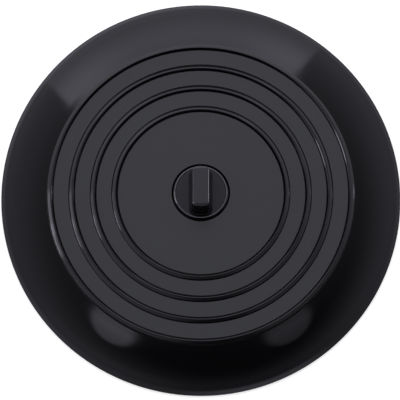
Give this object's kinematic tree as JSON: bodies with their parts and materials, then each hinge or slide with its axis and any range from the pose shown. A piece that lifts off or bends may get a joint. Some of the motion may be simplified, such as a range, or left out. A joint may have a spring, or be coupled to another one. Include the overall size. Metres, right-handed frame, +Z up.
{
  "type": "drain cover",
  "caption": "Round domed silicone cover that lies over a bath or sink drain and seals by its brim, with raised ring beads and a pinch grip in the middle.",
  "frame": {"origin": "centre of the sealing face, on the surface that the cover lies on", "axes": "+Z up through the grip; the grip's fin runs along Y at rest"},
  "size_m": [0.15, 0.15, 0.0212],
  "materials": {
    "cover_silicone": "black silicone, fine matt on the panel, glossy on the brim and the ring beads",
    "grip_silicone": "black silicone, smooth and glossy"
  },
  "bodies": {
    "cover": {"cover": "cover_silicone"},
    "grip": {"pull_grip": "grip_silicone"}
  },
  "joints": [
    {"name": "grip_turn", "type": "hinge", "parent": "cover", "child": "grip", "pos_m": [0, 0, 0.009], "axis": [0, 0, 1], "continuous": true}
  ]
}
